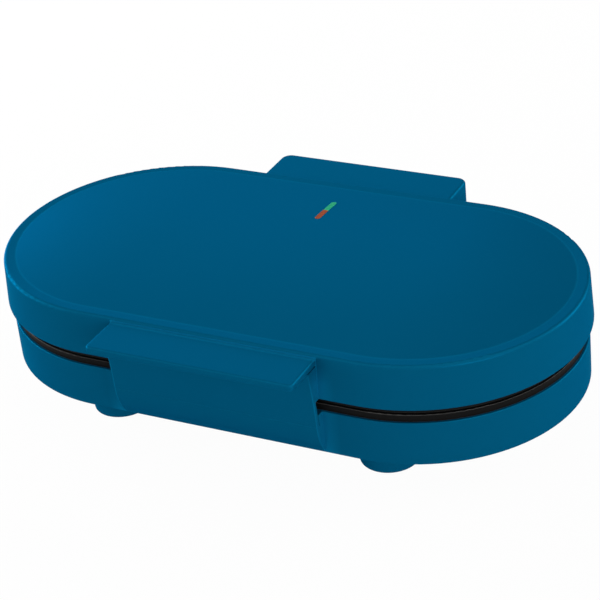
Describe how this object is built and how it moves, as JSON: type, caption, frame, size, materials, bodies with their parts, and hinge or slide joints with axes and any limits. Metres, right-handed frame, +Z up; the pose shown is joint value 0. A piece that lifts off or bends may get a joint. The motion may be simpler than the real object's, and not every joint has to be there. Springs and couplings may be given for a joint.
{
  "type": "pancake maker",
  "caption": "Countertop pancake maker with a hinged racetrack lid, a lift handle at the front and round wells in both plates.",
  "frame": {"origin": "on the table, under the middle of the closed part, at the bottom of the foot pads", "axes": "+X to the right along the length, +Y to the hinge at the rear, +Z up; the handle is at -Y"},
  "size_m": [0.4, 0.27, 0.0965],
  "materials": {
    "body_plastic": "petrol blue moulded plastic, satin gloss",
    "nonstick": "cast, black non-stick coating",
    "steel": "plated steel",
    "shield_aluminium": "bare sheet",
    "ceramic": "glazed ceramic",
    "rubber": "matt rubber",
    "black_plastic": "moulded plastic",
    "holder_plastic": "heat resistant moulding",
    "lead_sleeve": "woven glass sleeve",
    "power_lens": "clear red moulding",
    "ready_lens": "clear green moulding",
    "lamp_glass": "neon lamp"
  },
  "bodies": {
    "base": {"base_housing": "body_plastic", "base_lead": "lead_sleeve", "cord_gland": "black_plastic", "foot_front_left": "body_plastic", "foot_front_right": "body_plastic", "foot_pad_front_left": "rubber", "foot_pad_front_right": "rubber", "foot_pad_rear_left": "rubber", "foot_pad_rear_right": "rubber", "foot_rear_left": "body_plastic", "foot_rear_right": "body_plastic", "foot_screws": "steel", "gland_nut": "black_plastic", "hinge_pin_left": "steel", "hinge_pin_right": "steel", "lower_clamp_screws": "steel", "lower_element": "steel", "lower_element_clamps": "steel", "lower_element_insulators": "ceramic", "lower_element_leads": "lead_sleeve", "lower_element_terminals": "steel", "lower_heat_shield": "shield_aluminium", "lower_plate": "nonstick", "lower_plate_screws": "steel", "lower_shield_screws": "steel", "terminal_block": "holder_plastic", "terminal_block_screws": "steel"},
    "lid": {"fuse_strap": "steel", "handle_screws": "steel", "hinge_hood": "body_plastic", "hood_screws": "steel", "lamp_holder": "holder_plastic", "lamp_lead": "lead_sleeve", "lid_housing": "body_plastic", "lid_lead": "lead_sleeve", "lift_handle": "body_plastic", "power_lamp": "lamp_glass", "power_lens": "power_lens", "ready_lamp": "lamp_glass", "ready_lens": "ready_lens", "thermal_fuse": "steel", "thermostat": "steel", "upper_clamp_screws": "steel", "upper_element": "steel", "upper_element_clamps": "steel", "upper_element_insulators": "ceramic", "upper_element_leads": "lead_sleeve", "upper_element_terminals": "steel", "upper_heat_shield": "shield_aluminium", "upper_plate": "nonstick", "upper_plate_screws": "steel", "upper_shield_screws": "steel"}
  },
  "joints": [
    {"name": "lid_hinge", "type": "hinge", "parent": "base", "child": "lid", "pos_m": [0, 0.119, 0.0539], "axis": [-1, 0, 0], "range_deg": [0, 100]}
  ]
}
